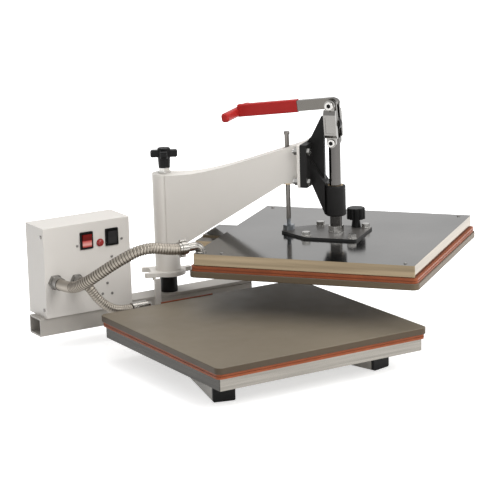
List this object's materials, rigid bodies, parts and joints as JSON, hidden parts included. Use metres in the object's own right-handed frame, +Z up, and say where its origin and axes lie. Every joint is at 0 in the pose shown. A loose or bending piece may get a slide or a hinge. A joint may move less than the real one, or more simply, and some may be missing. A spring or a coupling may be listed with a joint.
{
  "type": "swing-away tortilla press",
  "caption": "Heated tortilla press: a lever toggle drives the upper square platen down on the lower one, and the arm swings away on a post.",
  "frame": {"origin": "on the pivot post's axis at table level", "axes": "+X to the operator's right, -Y from the post to the lower platen, +Z up"},
  "size_m": [0.7572, 0.5874, 0.4317],
  "materials": {
    "frame_paint": "fine textured powder coat, warm off-white",
    "leg_paint": "powder coat, warm light grey",
    "black_finish": "satin black",
    "post_steel": "blackened steel, lightly oiled",
    "platen": "hard non-stick coat, satin, warm olive grey",
    "gasket": "satin orange-red silicone",
    "stainless": "polished stainless sheet",
    "chrome": "bright chrome",
    "zinc": "bright zinc",
    "red_grip": "satin red vinyl",
    "black_plastic": "fine satin black",
    "red_plastic": "gloss red",
    "conduit": "ribbed galvanised strip",
    "brass": "machined",
    "wool": "pressed mineral wool",
    "element": "oxidised element sheath",
    "terminal": "moulded"
  },
  "bodies": {
    "base": {"cross_tube": "frame_paint", "left_leg": "leg_paint", "right_leg": "leg_paint", "leg_end_caps": "black_plastic", "apex_gusset": "frame_paint", "pivot_post": "post_steel", "stop_bar": "frame_paint", "lower_platen": "platen", "lower_gasket": "gasket", "gasket_lip": "gasket", "lower_cover": "stainless", "lower_heater": "element", "lower_insulation": "wool", "lower_cover_screws": "zinc", "platen_standoffs": "zinc", "box_body": "frame_paint", "box_front": "frame_paint", "box_screws": "zinc", "rocker_frames": "black_plastic", "pilot_lamp": "red_plastic", "terminal_block": "terminal", "inlet_gland": "black_plastic", "conduit_glands": "zinc", "upper_conduit": "conduit", "lower_conduit": "conduit", "lower_elbow": "zinc"},
    "power_switch": {"power_rocker": "red_plastic"},
    "heat_switch": {"heat_rocker": "black_plastic"},
    "post_knob": {"clamp_knob": "black_plastic", "clamp_stud": "zinc"},
    "arm": {"arm_sleeve": "frame_paint", "arm_beam": "frame_paint", "arm_end_plate": "frame_paint", "index_flange": "frame_paint", "sleeve_bushes": "brass", "thrust_washer": "brass", "guide_bush": "brass", "toggle_bracket": "black_finish", "bracket_bolts": "zinc", "barrel_bush": "brass", "frame_pin": "zinc"},
    "handle": {"handle_bar": "chrome", "handle_grip": "red_grip", "handle_pin": "zinc"},
    "links": {"front_link": "chrome", "back_link": "chrome", "link_screws": "zinc"},
    "platen_carriage": {"plunger_shaft": "chrome", "plunger_nut": "zinc", "mounting_plate": "zinc", "plate_bolts": "zinc", "guide_rod": "post_steel", "upper_platen": "platen", "upper_gasket": "gasket", "upper_cover": "stainless", "upper_heater": "element", "upper_insulation": "wool", "upper_cover_screws": "zinc", "upper_elbow": "zinc"},
    "thickness_knob": {"adjust_knob": "black_plastic"}
  },
  "joints": [
    {"name": "arm_swing", "type": "hinge", "parent": "base", "child": "arm", "pos_m": [0, 0, 0.2], "axis": [0, 0, 1], "range_deg": [-39.5, 12], "deforming": ["upper_conduit"]},
    {"name": "handle_turn", "type": "hinge", "parent": "arm", "child": "handle", "pos_m": [0.20469, -0.24831, 0.3854], "axis": [0.7716, 0.6361, 0], "range_deg": [0, 187.7]},
    {"name": "platen_slide", "type": "slide", "parent": "arm", "child": "platen_carriage", "axis": [0, 0, 1], "range_m": [-0.0676, 0]},
    {"name": "link_turn", "type": "hinge", "parent": "handle", "child": "links", "pos_m": [0.20292, -0.24616, 0.41919], "axis": [0.7716, 0.6361, 0], "range_deg": [-188, 0]},
    {"name": "platen_knob_turn", "type": "hinge", "parent": "platen_carriage", "child": "thickness_knob", "pos_m": [0.25482, -0.2368, 0.2], "axis": [0, 0, 1], "continuous": true},
    {"name": "post_knob_turn", "type": "hinge", "parent": "base", "child": "post_knob", "pos_m": [0, 0, 0.3], "axis": [0, 0, 1], "continuous": true},
    {"name": "power_press", "type": "hinge", "parent": "base", "child": "power_switch", "pos_m": [-0.1773, -0.0275, 0.191], "axis": [-1, 0, 0], "range_deg": [0, 8]},
    {"name": "heat_press", "type": "hinge", "parent": "base", "child": "heat_switch", "pos_m": [-0.1274, -0.0275, 0.191], "axis": [-1, 0, 0], "range_deg": [0, 8]}
  ],
  "couplings": [
    {"joint": "platen_slide", "follows": "handle_turn", "m_per_rad": -0.020626},
    {"joint": "link_turn", "follows": "handle_turn", "ratio": -0.99531}
  ]
}
